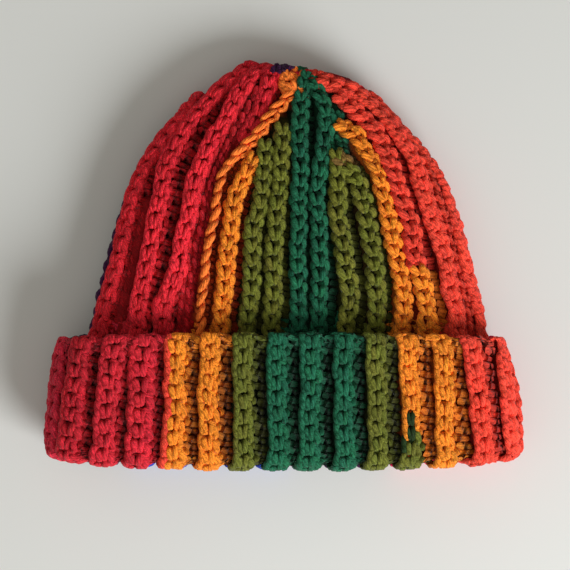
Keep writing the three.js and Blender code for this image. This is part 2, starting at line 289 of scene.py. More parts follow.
liftColumn = levelColumns.index("lift")
cuffRows, cuffShares = [], []
for y, depth in cuffForm["topEdge"] + [(y, 0) for y in cuffForm["face"]]:
    level = levelAt(cuffLevels, y)
    row = inset(level, depth)
    row[0] = y
    rise = max(0, (cuffForm["liftFrom"] - y) / cuffForm["liftSpan"])
    drop = min(1, max(0, (y - cuffForm["dropFrom"]) / cuffForm["dropSpan"]))
    row[liftColumn] = cuffForm["foldLift"] * rise - cuffForm["cornerDrop"] * drop
    cuffRows.append(row)
    cuffShares.append(sideShare(level))
foldOuter, foldInner = levelAt(cuffLevels, cuffForm["foldFrom"]), hollowLevels[0]
for across, y in cuffForm["fold"]:
    row = foldOuter * (1 - across) + foldInner * across
    row[0] = y
    row[liftColumn:liftColumn + 2] = cuffForm["foldLift"], cuffForm["foldDrop"]
    cuffRows.append(row)
    cuffShares.append(sideShare(foldOuter))
for row in hollowLevels:
    outside = cuffLevels if row[0] < hollowForm["underCuff"] else crownLevels[crownForm["topRow"]:]
    cuffRows.append(row)
    cuffShares.append(sideShare(levelAt(outside, row[0])))
cuffSkin = makeSkin(cuffRows, cuffShares)
edgeRows, foldRows = len(cuffForm["topEdge"]), len(cuffForm["fold"])
edgeV = cuffSkin["rowV"][edgeRows - 2]
foldV = cuffSkin["rowV"][edgeRows + len(cuffForm["face"]) + foldRows // 2]
cuffSkin.update({name: cuffForm[name] for name in ("relief", "spread", "notches")})
cuffSkin["reliefV"] = [*(edgeV + step for step in cuffForm["fromEdge"]),
                       *(foldV + step for step in cuffForm["fromFold"])]


def hollowV(y):    # the level v at which the face inside reaches the height y
    inside = cuffSkin["v"] > foldV
    return float(np.interp(y, cuffSkin["y"][inside], cuffSkin["v"][inside]))


def crownPlace(x, y):
    upper = crownSkin["rowV"][crownForm["topRow"]]
    known = crownSkin["v"] >= upper
    heights, stations = crownSkin["y"][known][::-1], crownSkin["v"][known][::-1]
    nominal = y
    for _ in range(8):    # the rows tilt and bow, so the row through x, y is closed in on
        v = np.interp(nominal, heights, stations)
        level = np.array([np.interp(v, crownSkin["v"], crownSkin[name]) for name in levelColumns])
        left, right, tilt, bow = level[[1, 2, 7, 8]]
        share = min(1, max(0, (x - left) / (right - left)))
        nominal = y - tilt * (0.5 - share) - bow * math.sin(math.pi * share)
    return float(v), turnAtX(level, float(np.interp(v, crownSkin["v"], crownSkin["side"])), x)


print("stage: yarns and ribs")
yarns = {  # colours as seen in plain light, red green blue from 0 to 255
    "red": (217, 38, 50), "ruby": (192, 33, 46), "crimson": (200, 40, 60), "orange": (223, 65, 47),
    # the dark gold-brown on the next line is gold yarn painted in shade, for the grooves beside gold and
    # apricot ribs
    "apricot": (244, 122, 46), "gold": (229, 129, 34), "shadedGold": (180, 76, 24), "olive": (101, 103, 33),
    "brown": (116, 90, 40), "emerald": (24, 90, 62), "blue": (48, 66, 168), "purple": (62, 20, 62),
    "pink": (226, 34, 84), "moss": (95, 99, 33), "pine": (30, 50, 18),
}


def linear(colour):
    share = np.array(colour) / 255
    return np.where(share < 0.04045, share / 12.92, ((share + 0.055) / 1.055) ** 2.4)


# The crown's front ribs from left to right. line holds points x, y of a crest from the cuff up, over leads it
# on past the drawn-in end as how far in and turn, and side leads it round the edge as y and turn. kind names
# a stitch other than the ridge, and stitch is its length. ridge is the rib's width against the drawn stitch,
# depth how far it sinks at its foot and at its top, shade is painted shade that dims the rib, groove is
# painted shade or painted light on the yarn in the groove beside it, and thin narrows its colour on the
# wall behind. strandYarns names strands of another yarn, and changes the yarn below a height y, of all
# strands or of those listed.
# painted shade: the grooves of gold and apricot ribs take gold yarn painted in shade
shadedGoldGrooves = {"grooveUpper": "shadedGold", "grooveLower": "shadedGold"}
emeraldGrooves = {"grooveUpper": "emerald", "grooveLower": "emerald"}
crownFront = {
    "redEdge": {"yarn": "red", "stitch": 8.3, "ridge": 0.94,
        "line": [(-92.7, -25), (-89.2, -11), (-84.7, 2), (-81.2, 20), (-75.2, 45), (-63.7, 63), (-52.7, 76)],
        "side": [(87, 0.02), (92, -0.06)]},
    "redGap": {"yarn": "red", "kind": "recess", "stitch": 7.8, "depth": (3.6, 3.2), "shade": 0.7,
        "line": [(-83.5, -25), (-79, -4), (-75, 14), (-71.5, 32)]},
    "redSecond": {"yarn": "red", "stitch": 8.3, "ridge": 0.88,
        "line": [(-73.2, -25), (-68.2, 2), (-63.7, 29), (-60.2, 50), (-54.7, 61), (-48.2, 72), (-41, 82),
                 (-34.5, 89.5), (-27.5, 96)],
        "over": [(0.0, 0.1), (0.5, 0.05)]},
    "redThird": {"yarn": "red", "stitch": 8.2, "ridge": 0.84,
        "line": [(-59.7, -25), (-52.2, -2), (-51.2, 11), (-47.7, 27), (-43.7, 43), (-40, 54), (-34.8, 66),
                 (-29.9, 74.6), (-26.5, 81.8), (-23.2, 87.5), (-20.6, 91.4), (-16.5, 98)],
        "over": [(0.45, 0.25)]},
    "redRecess": {"yarn": "red", "kind": "recess", "stitch": 7.8, "depth": (3.2, 1.2), "shade": 0.76,
        "line": [(-49.4, -25), (-45, 2), (-40.5, 30), (-34.5, 50), (-27.5, 63), (-21.5, 74), (-16.6, 84),
                 (-12.6, 92)]},
    "redInner": {"yarn": "red", "stitch": 7.9, "depth": (1.6, 0.2), "shade": 0.95,
        "line": [(-22.6, 60), (-17.2, 68), (-13.6, 74), (-11, 79.4), (-9.6, 85.1), (-8.2, 90.4), (-7, 96)],
        "over": [(0.1, 0.4), (0.6, 0.4)], "ridge": 0.95},
    "orangeChain": {"yarn": "apricot", "kind": "chain", "thin": 2.5, "stitch": 7.3,
        "strandYarns": shadedGoldGrooves,
        "line": [(-41.2, -25), (-39.2, -9), (-38.7, 4), (-36.7, 18), (-33.7, 30), (-31.2, 43), (-28.2, 50),
                 (-24.7, 54), (-19.2, 61)]},
    "orangeLoops": {"yarn": "apricot", "kind": "loops", "thin": 2.5, "stitch": 8.2,
        "line": [(-24.7, 54), (-19.2, 61), (-13.6, 67.4), (-8.7, 74), (-3.6, 79.4), (0.6, 84.6), (4, 89)]},
    "orangeTop": {"yarn": "apricot", "stitch": 6.6, "line": [(5, 85), (3.8, 91), (2.4, 98)],
        "over": [(0.3, 0.55)], "ridge": 1.15, "strandYarns": emeraldGrooves},
    "purpleTip": {"yarn": "purple", "stitch": 5, "kind": "recess", "depth": (-1.6, -1.6),
        "line": [(-3.4, 98.6), (-3.2, 99.6)], "over": [(0.15, 0.47)]},
    "goldInner": {"yarn": "gold", "kind": "slim", "stitch": 7.4, "ridge": 0.92, "strandYarns": shadedGoldGrooves,
        "line": [(-30.7, -25), (-29.2, -5), (-27.2, 18), (-25.2, 30), (-19.2, 46), (-15.4, 53)]},
    "oliveOuterLeft": {"yarn": "olive", "kind": "slim", "stitch": 7.4, "ridge": 0.96,
        "line": [(-18.2, -25), (-16.2, -7), (-14.7, 20), (-11.7, 31), (-9.6, 59.5)]},
    "oliveInnerLeft": {"yarn": "olive", "kind": "slim", "stitch": 7.4, "ridge": 0.96,
        "line": [(-6.2, -25), (-5.2, 2), (-4.2, 15), (-3.2, 29), (-0.7, 71)]},
    "emeraldLeft": {"yarn": "emerald", "kind": "slim", "stitch": 7.4, "ridge": 0.9,
        "line": [(7.2, -25), (7.2, 29), (8.2, 57), (7.8, 80), (9, 88), (9.6, 95)]},
    "emeraldRight": {"yarn": "emerald", "kind": "slim", "stitch": 7.4, "ridge": 0.9,
        "line": [(17.7, -25), (16.7, 29), (18.4, 52), (19.9, 62), (19.9, 75.6), (18.9, 84.2), (15.6, 90.9),
                 (11, 97)],
        "over": [(0.4, 0.68)]},
    "emeraldEnd": {"yarn": "emerald", "kind": "recess", "stitch": 6, "depth": (2.0, 1.2),
        "line": [(27.8, 57), (26.8, 68), (26.4, 82)]},
    "oliveInnerRight": {"yarn": "olive", "kind": "slim", "stitch": 7.3, "ridge": 0.96,
        "line": [(31.7, -25), (31.7, -9), (29.7, 2), (28.7, 13), (27.2, 27), (26.2, 55)]},
    "oliveOuterRight": {"yarn": "brown", "kind": "slim", "stitch": 7.3, "ridge": 1.0,
        "changes": [(49, "olive")],
        "line": [(46.2, -25), (44.2, 2), (42.2, 15), (40.2, 27), (37.2, 43), (32.7, 48), (27.7, 54)]},
    "goldRight": {"yarn": "gold", "kind": "slim", "stitch": 7.2, "ridge": 0.93, "strandYarns": shadedGoldGrooves,
        "line": [(58.7, -25), (58.2, -7), (55.7, 4), (54.2, 15), (50.7, 29), (47.2, 44), (44.2, 52),
                 (40.2, 59), (37.2, 66), (28.7, 71)]},
    "orangeFirst": {"yarn": "orange", "kind": "slim", "stitch": 7.1, "ridge": 1.08,
        "changes": [(-1, "gold")],
        "line": [(71, -25), (70.2, -14), (68.2, -5), (64.2, 9), (63.2, 18), (59.2, 32), (56.7, 41),
                 (52.2, 57), (46.2, 69), (38.2, 77), (29, 85.5)]},
    "orangeSecond": {"yarn": "orange", "stitch": 7.1, "ridge": 0.98,
        "line": [(87.7, -25), (83.7, -7), (81.2, 6), (78.2, 15), (73.2, 29), (68.7, 49), (66.2, 56),
                 (60.7, 66), (54, 75), (46.2, 83), (37, 89.5), (26, 93.5), (17, 97)],
        "over": [(0.35, 0.85)]},
    "orangeGap": {"yarn": "orange", "kind": "recess", "stitch": 7.1, "depth": (2.4, 1.2), "shade": 0.85,
        "line": [(94.6, -25), (91.2, -10), (87.8, 3), (85.2, 14), (80.6, 30), (76.2, 46), (71.6, 58),
                 (65, 68)]},
    "orangeEdge": {"yarn": "orange", "stitch": 7.1, "ridge": 0.95,
        "line": [(101.2, -25), (98.2, -14), (94.2, 0), (91.8, 14), (87.2, 31), (83.7, 43), (79.2, 52),
                 (72, 62)],
        "side": [(72, 1.0), (82, 1.06), (90, 1.14)]},
}
# Yarns of the crown's back ribs, on round from the right edge, and how high each rib runs
crownBack = {
    "yarns": ["orange"] + ["pink"] * 2 + ["purple"] * 3 + ["blue"] * 5 + ["purple"] * 3,
    "tall": 88, "short": (66, 58, 70), "firstTop": 90, "lastTop": 34, "stitch": 7.6,
    "shift": 0.5, "spare": 0.1,    # room before the first rib and after the last, in ribs
}
# The cuff's front ribs from left to right: x of the crest at the top edge and at the fold. groove is painted
# shade or painted light on the yarn in the groove beside the rib.
cuffFront = {
    "crimsonSide": {"yarn": "crimson", "edge": -112.5, "fold": -118.5, "ridge": 1.0, "groove": 1.1},
    "redFirst": {"yarn": "ruby", "edge": -100.5, "fold": -109, "ridge": 1.32, "groove": 1.1},
    "redSecond": {"yarn": "ruby", "edge": -83.5, "fold": -89, "ridge": 1.22, "groove": 1.1},
    "redThird": {"yarn": "ruby", "edge": -68.2, "fold": -72, "ridge": 1.28, "groove": 1.2},
    "goldWithOrange": {"yarn": "gold", "edge": -52.4, "fold": -54.4, "ridge": 1.04, "groove": 0.8,
        "strandYarns": {"rope": "orange"}},
    "goldLeft": {"yarn": "gold", "edge": -36, "fold": -37, "ridge": 0.94, "groove": 0.6},
    "oliveLeft": {"yarn": "moss", "edge": -19.5, "fold": -20, "ridge": 0.92, "groove": 0.75},
    "emeraldFirst": {"yarn": "emerald", "edge": -3, "fold": -3, "ridge": 0.95, "groove": 0.85},
    "emeraldSecond": {"yarn": "emerald", "edge": 13, "fold": 13, "ridge": 0.95, "groove": 0.85},
    "emeraldThird": {"yarn": "emerald", "edge": 29.5, "fold": 30, "ridge": 0.95, "groove": 0.85},
    "oliveRight": {"yarn": "moss", "edge": 45.5, "fold": 46, "ridge": 0.9, "groove": 0.85},
    "goldFirst": {"yarn": "gold", "edge": 61.5, "fold": 62.5, "ridge": 0.88, "groove": 0.95,
        "changes": [(-76, "pine", ("leftLobe", "rightLobe", "holeStrand")), (-80, "pine", ("smallKnob",)),
                    (-84, "moss", ("knob", "smallKnob", "outerKnob")), (-86, "pine", ("rope",)),
                    (-88, "apricot", ("holeStrand",)), (-90, "moss", ("leftLobe", "rightLobe")),
                    (-94, "moss")]},
    "goldSecond": {"yarn": "gold", "edge": 77.5, "fold": 80, "ridge": 0.88, "groove": 0.95},
    "orangeFirst": {"yarn": "orange", "edge": 93.5, "fold": 98.5, "ridge": 1.0, "groove": 1.0},
    "orangeSide": {"yarn": "orange", "edge": 110, "fold": 116, "ridge": 1.22, "groove": 1.2},
}
# Yarns of the cuff's back ribs, from round the right edge to round the left one
cuffBack = {
    "yarns": ["orange"] + ["pink"] * 4 + ["purple"] * 3 + ["blue"] * 5 + ["purple"] * 2 + ["crimson"],
    "firstTurn": 1.012, "lastTurn": 1.986, "stitch": 7.6,
}


stitchLength = 7.5    # of the stitches drawn below
ribStep = 0.5         # spacing of the points along a rib
ribSamples = 12       # places that a rib is drawn through where its table gives only its ends


def ribFromPlaces(rib, places, front):
    v, turn = np.array(sorted(places)).T
    steps = np.arange(v[0], v[-1], ribStep)
    return dict(rib, v=steps, turn=smoothColumn(v, turn, steps), front=front)


def makeCrownRibs():
    drawnInV = crownSkin["rowV"][crownForm["topRow"]]
    foot, run = crownForm["foot"], crownForm["hiddenRun"]
    ribs = []
    for rib in crownFront.values():
        places = [crownPlace(x, y) for x, y in rib["line"]]
        places += [(crownPlace(0, y)[0], turn) for y, turn in rib.get("side", ())]
        places += [(drawnInV * (1 - depth), turn) for depth, turn in rib.get("over", ())]
        if rib["line"][0][1] == foot:    # the rib runs on under the cuff
            v, turn = max(places)
            places += [(v + run / 2, turn), (v + run, turn)]
        ribs.append(ribFromPlaces(rib, places, True))
    count = len(crownBack["yarns"])
    for place, yarn in enumerate(crownBack["yarns"]):
        turn = 1 + (place + crownBack["shift"]) / (count + crownBack["spare"])
        top = crownBack["tall"] if place % 2 == 0 else crownBack["short"][place % 3]
        top = {0: crownBack["firstTop"], count - 1: crownBack["lastTop"]}.get(place, top)
        places = [(crownPlace(0, y)[0], turn) for y in np.linspace(top, foot, ribSamples)]
        places.append((max(places)[0] + run, turn))
        ribs.append(ribFromPlaces({"yarn": yarn, "stitch": crownBack["stitch"]}, places, False))
    return ribs


def makeCuffRibs(firstV, lastV):
    ribs = []
    for rib in cuffFront.values():
        places = []
        for v in np.linspace(0, foldV, ribSamples):
            y = min(cuffForm["ribTop"] - 0.5, float(np.interp(v, cuffSkin["v"], cuffSkin["y"])))
            level = levelAt(cuffLevels, y)
            share = min(1, (cuffForm["ribTop"] - y) / cuffForm["ribSpan"])
            x = rib["edge"] + (rib["fold"] - rib["edge"]) * share
            places.append((v, turnAtX(level, sideShare(level), x)))
        places.append((cuffSkin["v"][-1], places[-1][1]))
        ribs.append(ribFromPlaces(dict(rib, stitch=stitchLength), places, True))
    turns = np.linspace(cuffBack["firstTurn"], cuffBack["lastTurn"], len(cuffBack["yarns"]))
    for yarn, turn in zip(cuffBack["yarns"], turns):
        rib = {"yarn": yarn, "stitch": cuffBack["stitch"]}
        ribs.append(ribFromPlaces(rib, [(0, turn), (cuffSkin["v"][-1], turn)], False))
    for rib in ribs:
        kept = (rib["v"] >= firstV) & (rib["v"] <= lastV)
        rib["v"], rib["turn"] = rib["v"][kept], rib["turn"][kept]
    return ribs


reliefForm = {
    "pitch": 12.9, "fullness": 0.9,          # spacing that the stitches are drawn for, and their share of it
    "narrowest": 0.8, "widest": 1.2,         # how far a stitch is squeezed or spread
    "gapLimits": (8.5, 21.5), "softenOver": 15,    # from rib to rib, evened out over this many points
    "core": 4.9, "leftSide": 4.4, "grooveSpan": 3.2, "leastGroove": 1.5,    # reach of a ridge and its groove
    "valleyFrom": 0.55, "valleyDepth": 0.9, "notch": 1.2,    # how the ribs round down between them
    # painted shade: yarn below the crests is painted darker and purer, and a strand's own roundness is partly
    # left out of it
    "shadeFrom": -3.4, "shadeDepth": 4.0,    # yarn this far under the crests darkens and deepens
    "purer": 0.65, "dimmer": 0.42,           # how much purer and dimmer the deepest yarn is
    "ownHeight": 0.4,                        # share of a strand's roundness that its shade leaves out
}


def dot(first, second):
    return np.sum(first * second, axis=1)


def measureRib(skin, rib):
    v, turn = rib["v"], rib["turn"]
    points = pointOn(skin, v, turn)
    steps = np.linalg.norm(np.diff(points, axis=0), axis=1)
    along = np.concatenate([[0], np.cumsum(steps)])
    alongV, alongTurn, normal = slopesOn(skin, v, turn)
    tangent = np.gradient(points, axis=0)
    tangent -= normal * dot(tangent, normal)[:, None]
    tangent /= np.linalg.norm(tangent, axis=1, keepdims=True)
    across = np.cross(normal, tangent)
    # the step in v and turn that moves 1 mm across the rib
    vv, vt, tt = dot(alongV, alongV), dot(alongV, alongTurn), dot(alongTurn, alongTurn)
    av, at = dot(across, alongV), dot(across, alongTurn)
    det = vv * tt - vt * vt
    # millimetres to a whole turn, square to the rib
    speed = np.linalg.norm(alongTurn, axis=1)
    lean = dot(tangent, alongTurn) / speed
    rib.update(along=along, speed=speed * np.sqrt(np.maximum(0.05, 1 - lean ** 2)),
               acrossV=(av * tt - at * vt) / det, acrossTurn=(at * vv - av * vt) / det,
               downV=np.gradient(v, along), downTurn=np.gradient(turn, along))


def measureGaps(rib, ribs):
    farAway = 1e3
    gaps = np.full((2, len(rib["v"])), farAway)
    for other in ribs:
        if other is rib:
            continue
        beside = (rib["v"] >= other["v"][0]) & (rib["v"] <= other["v"][-1])
        apart = np.interp(rib["v"], other["v"], other["turn"]) - rib["turn"]
        for hand, gap in enumerate((np.mod(-apart, 2), np.mod(apart, 2))):
            gaps[hand] = np.minimum(gaps[hand], np.where(beside & (gap < 1), gap, farAway))
    gaps = np.clip(gaps * rib["speed"], *reliefForm["gapLimits"])
    width = reliefForm["softenOver"]
    for hand in (0, 1):
        padded = np.pad(gaps[hand], width // 2, mode="edge")
        gaps[hand] = np.convolve(padded, np.ones(width) / width, mode="valid")
    rib["gapLeft"], rib["gapRight"] = gaps
    squeeze = np.clip(reliefForm["fullness"] * gaps.mean(axis=0) / reliefForm["pitch"],
                      reliefForm["narrowest"], reliefForm["widest"])
    rib["squeeze"] = np.full(len(squeeze), rib["ridge"]) if "ridge" in rib else squeeze


def measured(skin, ribs):
    for rib in ribs:
        measureRib(skin, rib)
    for rib in ribs:
        measureGaps(rib, ribs)
    return ribs


# how far down the cuff its ribs begin and the caps along its edge reach, and how far past the fold the inside
# ribs begin
ribSpans = {"top": 3.0, "caps": 8, "pastFold": 4, "capPhase": 0.3}
ribTopV, insideV = ribSpans["top"], foldV + ribSpans["pastFold"]
crownRibs = measured(crownSkin, makeCrownRibs())
cuffRibs = measured(cuffSkin, makeCuffRibs(ribTopV, insideV))
insideRibs = measured(cuffSkin, makeCuffRibs(insideV, hollowV(hollowForm["ribsTo"])))
edgeRibs = measured(cuffSkin, [dict(rib, phase=ribSpans["capPhase"])
                               for rib in makeCuffRibs(ribTopV, ribTopV + ribSpans["caps"])])


print("stage: strands of one stitch")


def yarnRun(radius, rings, *line, shade=1.0, taper=0.9):
    return {"line": line, "radius": radius, "rings": rings, "shade": shade, "taper": taper}


# Each strand is a short run of yarn: its radius and number of rings, and its middle line as points across the
# rib, down the rib and above the crest of the rib. shade is painted shade that darkens the yarn lying deep
# between the ribs and in the holes, and taper is how many radii its ends take to round off.
ridgeStitch = {
    "rope": yarnRun(1.75, 8, (-3.2, -9.8, -3.6), (-3.6, -7.8, -2.4), (-3.8, -5.6, -1.95), (-3.6, -3.4, -1.9),
                    (-3.2, -1.3, -2.3), (-2.8, 0.4, -3.7)),
    "leftLobe": yarnRun(1.75, 7, (-2.5, -6.6, -3.4), (-1.9, -5.2, -2.0), (-1.5, -3.6, -1.5),
                        (-1.2, -2.0, -1.6), (-1.0, -0.3, -3.5)),
    "rightLobe": yarnRun(1.7, 7, (1.7, -7.0, -4.4), (1.4, -5.4, -2.4), (1.1, -3.7, -1.6), (1.0, -2.0, -1.7),
                         (0.9, -0.4, -3.6)),
    "knob": yarnRun(1.8, 6, (2.3, -4.6, -3.6), (3.1, -3.1, -2.3), (3.7, -1.3, -2.1), (3.6, 0.4, -2.8),
                    (3.0, 1.5, -4.2)),
    "smallKnob": yarnRun(1.6, 5, (1.2, 0.6, -4.2), (2.1, 1.4, -2.8), (3.2, 2.0, -2.7), (4.2, 2.7, -4.0)),
    "outerKnob": yarnRun(1.7, 5, (3.9, 1.0, -4.8), (4.9, 2.4, -3.9), (5.1, 4.0, -3.9), (4.6, 5.4, -5.2),
                         shade=0.9),
    "holeStrand": yarnRun(1.2, 4, (-2.2, 0.5, -4.6), (-0.8, 1.3, -3.8), (0.6, 1.5, -3.9), (1.9, 0.8, -4.8),
                          shade=0.75),
    "grooveUpper": yarnRun(2.4, 5, (5.1, 0.2, -6.1), (5.8, 0.7, -4.6), (6.8, 1.1, -4.5), (7.7, 1.5, -6.1),
                           shade=0.78),
    "grooveLower": yarnRun(2.3, 5, (5.1, 4.2, -6.1), (5.8, 4.6, -4.7), (6.8, 5.0, -4.6), (7.7, 5.3, -6.1),
                           shade=0.74),
}
# on the narrow ribs of the crown each stitch is a V of two arms, with a knob at its right
slimStitch = {
    "leftArm": yarnRun(1.95, 8, (-2.3, -6.9, -3.8), (-2.3, -5.4, -2.2), (-1.8, -3.8, -1.5),
                       (-1.2, -2.3, -1.6), (-0.7, -0.9, -3.4)),
    "rightArm": yarnRun(1.8, 7, (2.3, -6.7, -4.2), (2.0, -5.1, -2.3), (1.5, -3.6, -1.6), (1.0, -2.1, -1.8),
                        (0.6, -0.8, -3.4)),
    "leftBand": yarnRun(1.7, 6, (-2.3, -2.9, -3.8), (-3.1, -1.5, -2.5), (-3.2, 0.2, -2.4),
                        (-2.6, 1.7, -3.7)),
    "knob": yarnRun(1.75, 6, (2.5, -3.0, -3.4), (3.6, -1.7, -2.2), (4.0, 0.0, -2.4), (3.2, 1.6, -4.0)),
    "fill": yarnRun(1.25, 4, (-0.9, 0.9, -4.0), (0.0, 0.2, -3.0), (1.3, 0.5, -2.8), (2.2, 1.4, -4.0),
                    shade=0.8),
    "outerKnob": yarnRun(1.6, 5, (3.2, 1.6, -5.0), (4.0, 3.0, -4.0), (3.8, 4.5, -5.0), shade=0.9),
    "grooveUpper": yarnRun(2.3, 4, (5.1, -0.1, -6.8), (5.8, 0.4, -5.3), (6.8, 0.9, -5.3), (7.8, 1.4, -6.8),
                           shade=0.62),
    "grooveLower": yarnRun(2.2, 4, (5.1, 3.8, -6.8), (5.8, 4.3, -5.4), (6.8, 4.7, -5.4), (7.8, 5.1, -6.8),
                           shade=0.6),
}
# the yarn that turns from one rib to the next along the cuff's edge
edgeStitch = {
    "cap": yarnRun(2.3, 6, (3.4, -1.6, -3.4), (5.0, -0.9, -2.1), (6.6, -0.1, -2.2), (7.9, 0.8, -3.8),
                   shade=0.82),
    "capLow": yarnRun(2.2, 6, (4.2, 2.0, -3.6), (5.3, 2.8, -2.4), (6.6, 3.6, -2.6), (7.8, 4.2, -4.2),
                      shade=0.78),
    "capDeep": yarnRun(2.1, 5, (4.6, 5.6, -5.0), (5.6, 6.4, -3.8), (6.7, 7.0, -4.0), (7.7, 7.6, -5.4),
                       shade=0.76),
}
backStitch = {key: ridgeStitch[key] for key in ("rope", "leftLobe", "rightLobe", "knob", "smallKnob",
                                                "outerKnob", "grooveUpper", "grooveLower")}
chainStitch = {
    "drop": yarnRun(1.7, 9, (2.3, -5.4, -3.8), (1.7, -3.6, -2.1), (0.7, -1.4, -1.3), (-0.5, 1.0, -1.5),
                    (-1.4, 2.8, -2.5), (-1.9, 4.2, -4.0), taper=2.0),
    "under": yarnRun(1.3, 5, (-2.6, -2.2, -4.4), (-1.2, -0.8, -3.8), (1.0, 0.4, -3.7), (2.6, 1.8, -4.4),
                     shade=0.8),
    "grooveUpper": yarnRun(1.4, 5, (3.2, 0.5, -6.0), (4.2, 0.7, -5.2), (5.2, 1.0, -5.2), (6.2, 1.3, -6.0),
                           shade=0.85),
    "grooveLower": yarnRun(1.4, 5, (3.2, 4.3, -6.0), (4.2, 4.5, -5.2), (5.2, 4.8, -5.2), (6.2, 5.1, -6.0),
                           shade=0.85),
}
loopStitch = {
    "drop": chainStitch["drop"],
    "under": chainStitch["under"],
    "loopOut": yarnRun(1.4, 6, (2.0, -4.4, -3.4), (3.3, -3.6, -2.1), (4.4, -2.2, -2.1), (5.0, -0.6, -3.6)),
    "loopBack": yarnRun(1.45, 6, (4.9, -1.6, -3.8), (4.2, 0.2, -2.4), (3.0, 1.5, -2.4), (1.5, 2.3, -3.6)),
}
recessStitch = {
    "leftDrop": yarnRun(1.6, 6, (-4.6, -3.4, -3.2), (-4.0, -1.8, -1.9), (-3.2, 0.2, -1.7),
                        (-2.7, 1.9, -3.2)),
    "leftLow": yarnRun(1.5, 5, (-4.4, 0.8, -3.6), (-3.9, 2.2, -2.4), (-3.1, 3.8, -2.4), (-2.6, 5.0, -3.8),
                       shade=0.9),
    "rightDrop": yarnRun(1.6, 6, (-0.6, -1.6, -3.2), (0.2, 0.0, -1.9), (1.1, 1.8, -1.8), (1.5, 3.6, -3.2)),
    "rightLow": yarnRun(1.5, 5, (-0.5, 2.6, -3.6), (0.4, 3.9, -2.5), (1.5, 5.2, -2.5), (2.4, 6.2, -3.8),
                        shade=0.9),
    "farDrop": yarnRun(1.5, 5, (3.0, -0.6, -3.4), (3.6, 0.8, -2.2), (4.4, 2.4, -2.2), (4.7, 3.8, -3.6),
                       shade=0.85),
    "farLow": yarnRun(1.4, 5, (3.2, 3.2, -3.6), (3.9, 4.4, -2.6), (4.8, 5.6, -2.8), (5.4, 6.6, -3.8),
                      shade=0.8),
}
insideStitch = {key: dict(ridgeStitch[key], rings=5) for key in ("rope", "leftLobe", "rightLobe", "knob")}
strandSides = 6
leastRadius = 0.12    # at the ends of a strand, as a share


def smoothLine(points, count):
    points = np.array(points, float)
    lengths = np.linalg.norm(np.diff(points, axis=0), axis=1)
    stations = np.concatenate([[0], np.cumsum(lengths)])
    at = np.linspace(0, stations[-1], count)
    return curveThrough(stations, points, np.gradient(points, stations, axis=0), at), at


def addStrand(bm, layers, strand, number):
    line, at = smoothLine(strand["line"], strand["rings"])
    tangents = np.gradient(line, axis=0)
    tangents /= np.linalg.norm(tangents, axis=1, keepdims=True)
    sideways = np.cross(tangents, (0, 0, 1))
    sideways /= np.linalg.norm(sideways, axis=1, keepdims=True)
    upwards = np.cross(sideways, tangents)
    ends = np.minimum(at, at[-1] - at) / (strand["taper"] * strand["radius"])
    radii = strand["radius"] * np.sqrt(np.clip(1 - (1 - np.clip(ends, leastRadius, 1)) ** 2, 0, 1))
    made = bmesh.ops.create_circle(bm, cap_ends=True, segments=strandSides, radius=1)
    face = made["verts"][0].link_faces[0]
    for ring in range(len(line)):
        if ring:
            grown = bmesh.ops.extrude_face_region(bm, geom=[face])["geom"]
            face = next(part for part in grown if isinstance(part, bmesh.types.BMFace))
        for side, vert in enumerate(face.verts):
            angle = 2 * math.pi * side / strandSides
            offset = radii[ring] * (math.cos(angle) * sideways[ring] + math.sin(angle) * upwards[ring])
            vert.co = line[ring] + offset
            vert[layers["middle"]] = line[ring]
            vert[layers["strand"]] = number
            vert[layers["side"]] = side
            vert[layers["down"]] = at[ring]


def makeTemplate(name, strands):
    bm = bmesh.new()
    layers = {
        "middle": bm.verts.layers.float_vector.new("middle"),
        "strand": bm.verts.layers.int.new("strand"),
        "side": bm.verts.layers.int.new("side"),
        "down": bm.verts.layers.float.new("down"),
    }
    for number, strand in enumerate(strands.values()):
        addStrand(bm, layers, strand, number)
    bmesh.ops.recalc_face_normals(bm, faces=bm.faces)
    uv = bm.loops.layers.uv.new("strandUV")
    for face in bm.faces:
        face.smooth = True
        sides = [loop.vert[layers["side"]] for loop in face.loops]
        wraps = len(sides) == 4 and 0 in sides and strandSides - 1 in sides
        for loop, side in zip(face.loops, sides):
            around = strandSides if wraps and side == 0 else side
            loop[uv].uv = (around / strandSides, loop.vert[layers["down"]])
    mesh = bpy.data.meshes.new(name)
    bm.to_mesh(mesh)
    bm.free()
    return mesh


def repeated(template, count):
    carrier = bpy.data.objects.new("carrier", template)
    bpy.context.collection.objects.link(carrier)
    array = carrier.modifiers.new("stitches", "ARRAY")
    array.count = count
    array.use_relative_offset = False
    array.use_constant_offset = True
    array.constant_offset_displace = (0, stitchLength, 0)
    graph = bpy.context.evaluated_depsgraph_get()
    mesh = bpy.data.meshes.new_from_object(carrier.evaluated_get(graph), depsgraph=graph)
    bpy.data.objects.remove(carrier)
    return mesh


def readLayer(mesh, name, kind, width=1):
    values = np.zeros(len(mesh.vertices) * width, kind)
    field = "vector" if width == 3 else "value"
    mesh.attributes[name].data.foreach_get(field, values)
    return values.reshape(-1, 3) if width == 3 else values


tableClearance = 0.1
stitchLook = {
    "phases": (0.15, 0.85),                   # where a rib's first stitch starts, in stitches
    "loose": 0.3, "looseUp": 0.7, "swell": 0.07,    # how far strands stray, in mm, and swell
    "squeeze": (0.85, 1.2), "widest": 1.4,    # of the strand itself, and of a rib where the fold spreads it
    "waves": ((0.45, 11), (0.25, 4.3)),       # how a rib wanders, as reach and length in mm
    "waveStart": 6.28,                        # a rib's wave starts anywhere up to this angle
    "stitchTone": 0.05, "strandTone": 0.03,   # how much the dye varies
}


def spreadStitches(ribs):
    starts, owner, pitches = [], [], []
    for number, rib in enumerate(ribs):
        length = rib["along"][-1]
        count = max(1, round(length / rib["stitch"]))
        pitch = length / count
        phase = rib.get("phase", rng.uniform(*stitchLook["phases"]))
        for stitch in range(count):
            starts.append((stitch + phase) * pitch)
            owner.append(number)
            pitches.append(pitch)
    return np.array(starts), np.array(owner), np.array(pitches)


